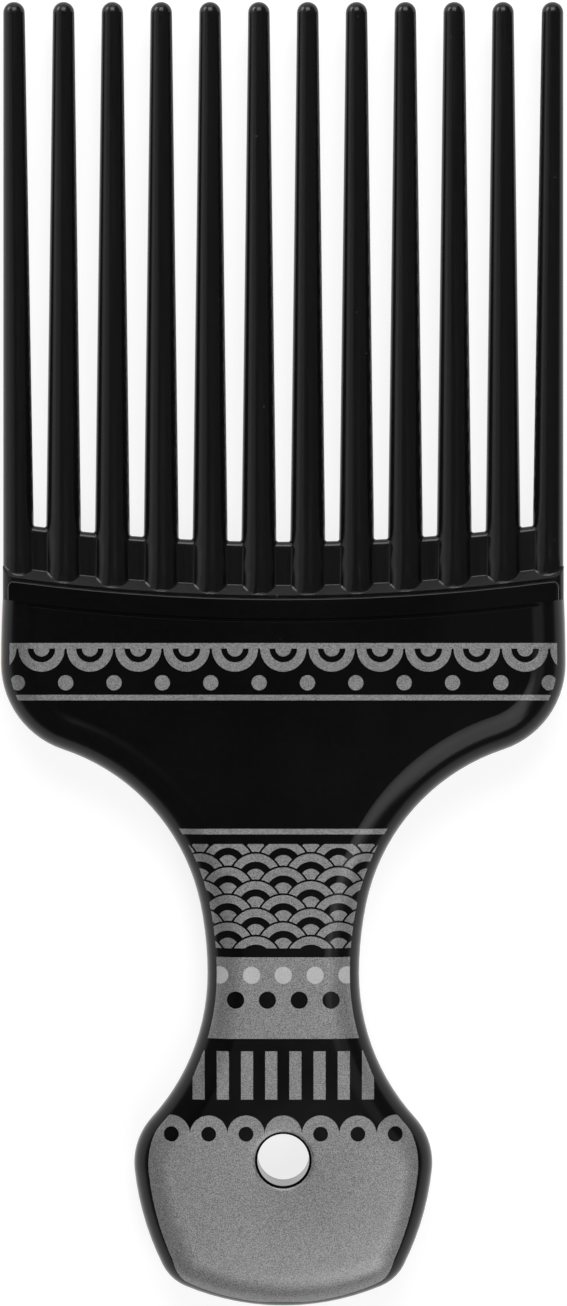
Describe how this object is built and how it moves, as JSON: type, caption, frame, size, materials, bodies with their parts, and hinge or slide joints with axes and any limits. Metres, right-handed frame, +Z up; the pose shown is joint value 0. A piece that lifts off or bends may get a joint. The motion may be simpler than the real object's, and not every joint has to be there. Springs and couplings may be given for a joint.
{
  "type": "afro pick",
  "caption": "Flat hair pick with a row of long round tapered tines set in a waisted two-shell handle with a raised mouth lip and a round hang hole.",
  "frame": {"origin": "under the middle of the pick's length and width, on the plane of the rear face on which it lies", "axes": "+Z up out of the front face, +Y along the pick towards the tine tips, +X across the tine row"},
  "size_m": [0.0822, 0.19, 0.011],
  "materials": {
    "comb_plastic": "satin black moulded plastic",
    "handle_plastic": "glossy black moulded plastic",
    "silver_ink": "screen-printed silver ink with a fine metallic fleck",
    "pale_ink": "screen-printed pale grey ink"
  },
  "bodies": {
    "root": {"tine_comb": "comb_plastic", "front_shell": "handle_plastic", "rear_shell": "handle_plastic"}
  },
  "joints": []
}
